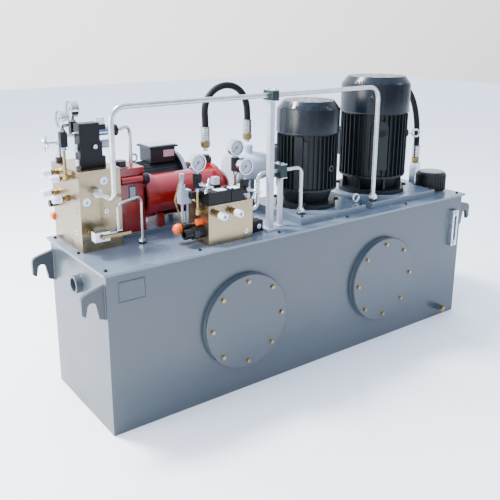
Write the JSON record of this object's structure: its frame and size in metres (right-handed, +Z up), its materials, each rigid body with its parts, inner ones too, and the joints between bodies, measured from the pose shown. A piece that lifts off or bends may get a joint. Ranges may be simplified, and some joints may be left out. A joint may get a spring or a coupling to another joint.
{
  "type": "hydraulic power unit",
  "caption": "Long steel oil tank carrying vertical pump motors, a red circulation unit, valve manifolds, gauges and overhead pipework.",
  "frame": {"origin": "middle of the tank's underside", "axes": "+X along the tank towards the filler cap, +Z up, -Y towards the side with the clean-out covers"},
  "size_m": [2.18, 0.7401, 1.246],
  "materials": {
    "tank_paint": "semi-gloss blue-grey enamel",
    "motor_paint": "semi-gloss dark blue-green enamel on cast ribs",
    "nickel_block": "milled and nickel-plated steel",
    "red_paint": "glossy red enamel",
    "clamp_green": "moulded green plastic",
    "yellow_zinc": "yellow-passivated zinc plating",
    "zinc_steel": "bright zinc plating",
    "machined_steel": "ground steel",
    "copper_core": "varnished copper windings and steel",
    "black_oxide": "black oxide steel",
    "valve_black": "black painted valve bodies",
    "seal_rubber": "oil-resistant sheet rubber",
    "hose_rubber": "smooth hose cover",
    "white_plastic": "moulded white plastic",
    "orange_plastic": "moulded orange plastic",
    "black_plastic": "ribbed black plastic",
    "chrome_case": "polished stainless case",
    "gauge_glass": "clear window",
    "level_glass": "clear sight tube",
    "needle_black": "matte black pointer",
    "canister_white": "white enamel",
    "galv_pipe": "galvanised steel tube",
    "pump_iron": "as-cast iron",
    "base_paint": "semi-gloss blue-grey enamel"
  },
  "bodies": {
    "unit": {"tank_shell": "tank_paint", "tank_baffle": "tank_paint", "welded_fittings": "tank_paint", "gaskets": "seal_rubber", "clean_out_covers": "tank_paint", "cover_bolts": "yellow_zinc", "lid_plate": "tank_paint", "black_screws": "black_oxide", "lifting_lugs": "tank_paint", "level_gauge_body": "zinc_steel", "level_gauge_tube": "level_glass", "breather_neck": "yellow_zinc", "mounting_plates": "tank_paint", "motor_frame_small": "motor_paint", "motor_frame_large": "motor_paint", "motor_internals": "copper_core", "fan_covers": "motor_paint", "terminal_boxes": "motor_paint", "eye_bolts": "zinc_steel", "immersed_pumps": "pump_iron", "suction_strainers": "zinc_steel", "circ_base": "base_paint", "circ_housing": "red_paint", "circ_motor_frame": "motor_paint", "filter_canister": "canister_white", "steel_brackets": "zinc_steel", "hose_loop": "hose_rubber", "hose_rear": "hose_rubber", "hose_fittings": "zinc_steel", "manifold_left": "nickel_block", "manifold_front": "nickel_block", "valve_stack_left": "valve_black", "valves_front": "valve_black", "block_plugs": "zinc_steel", "black_fittings": "black_oxide", "port_caps_white": "white_plastic", "port_caps_orange": "orange_plastic", "gauge_cases": "chrome_case", "gauge_lenses": "gauge_glass", "gauge_valves": "valve_black", "relief_valve": "zinc_steel", "brass_fittings": "yellow_zinc", "pipes": "galv_pipe", "steel_fittings": "zinc_steel", "clamp_posts": "tank_paint", "clamp_blocks": "clamp_green"},
    "rotor_small": {"rotor_small": "machined_steel"},
    "rotor_large": {"rotor_large": "machined_steel"},
    "circ_rotor": {"circ_rotor": "machined_steel"},
    "needle_a": {"needle_a": "needle_black"},
    "needle_b": {"needle_b": "needle_black"},
    "needle_c": {"needle_c": "needle_black"},
    "needle_d": {"needle_d": "needle_black"},
    "needle_e": {"needle_e": "needle_black"},
    "handle_a": {"handle_a": "zinc_steel"},
    "handle_c": {"handle_c": "zinc_steel"},
    "handle_d": {"handle_d": "zinc_steel"},
    "ball_lever": {"ball_lever": "yellow_zinc"},
    "breather_cap": {"breather_cap": "black_plastic"},
    "override_pin": {"override_pin": "machined_steel"}
  },
  "joints": [
    {"name": "small_motor_spin", "type": "hinge", "parent": "unit", "child": "rotor_small", "pos_m": [0.144, -0.0155, 0.9], "axis": [0, 0, 1], "continuous": true},
    {"name": "large_motor_spin", "type": "hinge", "parent": "unit", "child": "rotor_large", "pos_m": [0.616, 0.0185, 0.9], "axis": [0, 0, 1], "continuous": true},
    {"name": "circulation_spin", "type": "hinge", "parent": "unit", "child": "circ_rotor", "pos_m": [-0.5, 0.3115, 0.815], "axis": [1, 0, 0], "continuous": true},
    {"name": "needle_a_sweep", "type": "hinge", "parent": "unit", "child": "needle_a", "pos_m": [-0.99, 0.0725, 1.152], "axis": [1, 0, 0], "range_deg": [0, 270], "stiffness_Nm_per_rad": 0.002},
    {"name": "needle_b_sweep", "type": "hinge", "parent": "unit", "child": "needle_b", "pos_m": [-0.922, 0.1375, 1.178], "axis": [1, 0, 0], "range_deg": [0, 270], "stiffness_Nm_per_rad": 0.002},
    {"name": "needle_c_sweep", "type": "hinge", "parent": "unit", "child": "needle_c", "pos_m": [-0.555, -0.1675, 0.977], "axis": [0, 1, 0], "range_deg": [0, 270], "stiffness_Nm_per_rad": 0.002},
    {"name": "needle_d_sweep", "type": "hinge", "parent": "unit", "child": "needle_d", "pos_m": [-0.345, -0.1905, 0.941], "axis": [0, 1, 0], "range_deg": [0, 270], "stiffness_Nm_per_rad": 0.002},
    {"name": "needle_e_sweep", "type": "hinge", "parent": "unit", "child": "needle_e", "pos_m": [-0.34, -0.1205, 1.006], "axis": [0, 1, 0], "range_deg": [0, 270], "stiffness_Nm_per_rad": 0.002},
    {"name": "handle_a_turn", "type": "hinge", "parent": "unit", "child": "handle_a", "pos_m": [-0.99, 0.0725, 1.068], "axis": [-1, 0, 0], "range_deg": [0, 900]},
    {"name": "handle_c_turn", "type": "hinge", "parent": "unit", "child": "handle_c", "pos_m": [-0.555, -0.1675, 0.897], "axis": [0, -1, 0], "range_deg": [0, 900]},
    {"name": "handle_d_turn", "type": "hinge", "parent": "unit", "child": "handle_d", "pos_m": [-0.345, -0.1905, 0.852], "axis": [0, -1, 0], "range_deg": [0, 900]},
    {"name": "ball_valve_turn", "type": "hinge", "parent": "unit", "child": "ball_lever", "pos_m": [-0.93, -0.0825, 0.729], "axis": [0, -1, 0], "range_deg": [0, 90]},
    {"name": "filler_cap_lift", "type": "slide", "parent": "unit", "child": "breather_cap", "axis": [0, 0, 1], "range_m": [0, 0.12]},
    {"name": "override_push", "type": "slide", "parent": "unit", "child": "override_pin", "axis": [-1, 0, 0], "range_m": [0, 0.004], "stiffness_N_per_m": 500}
  ]
}
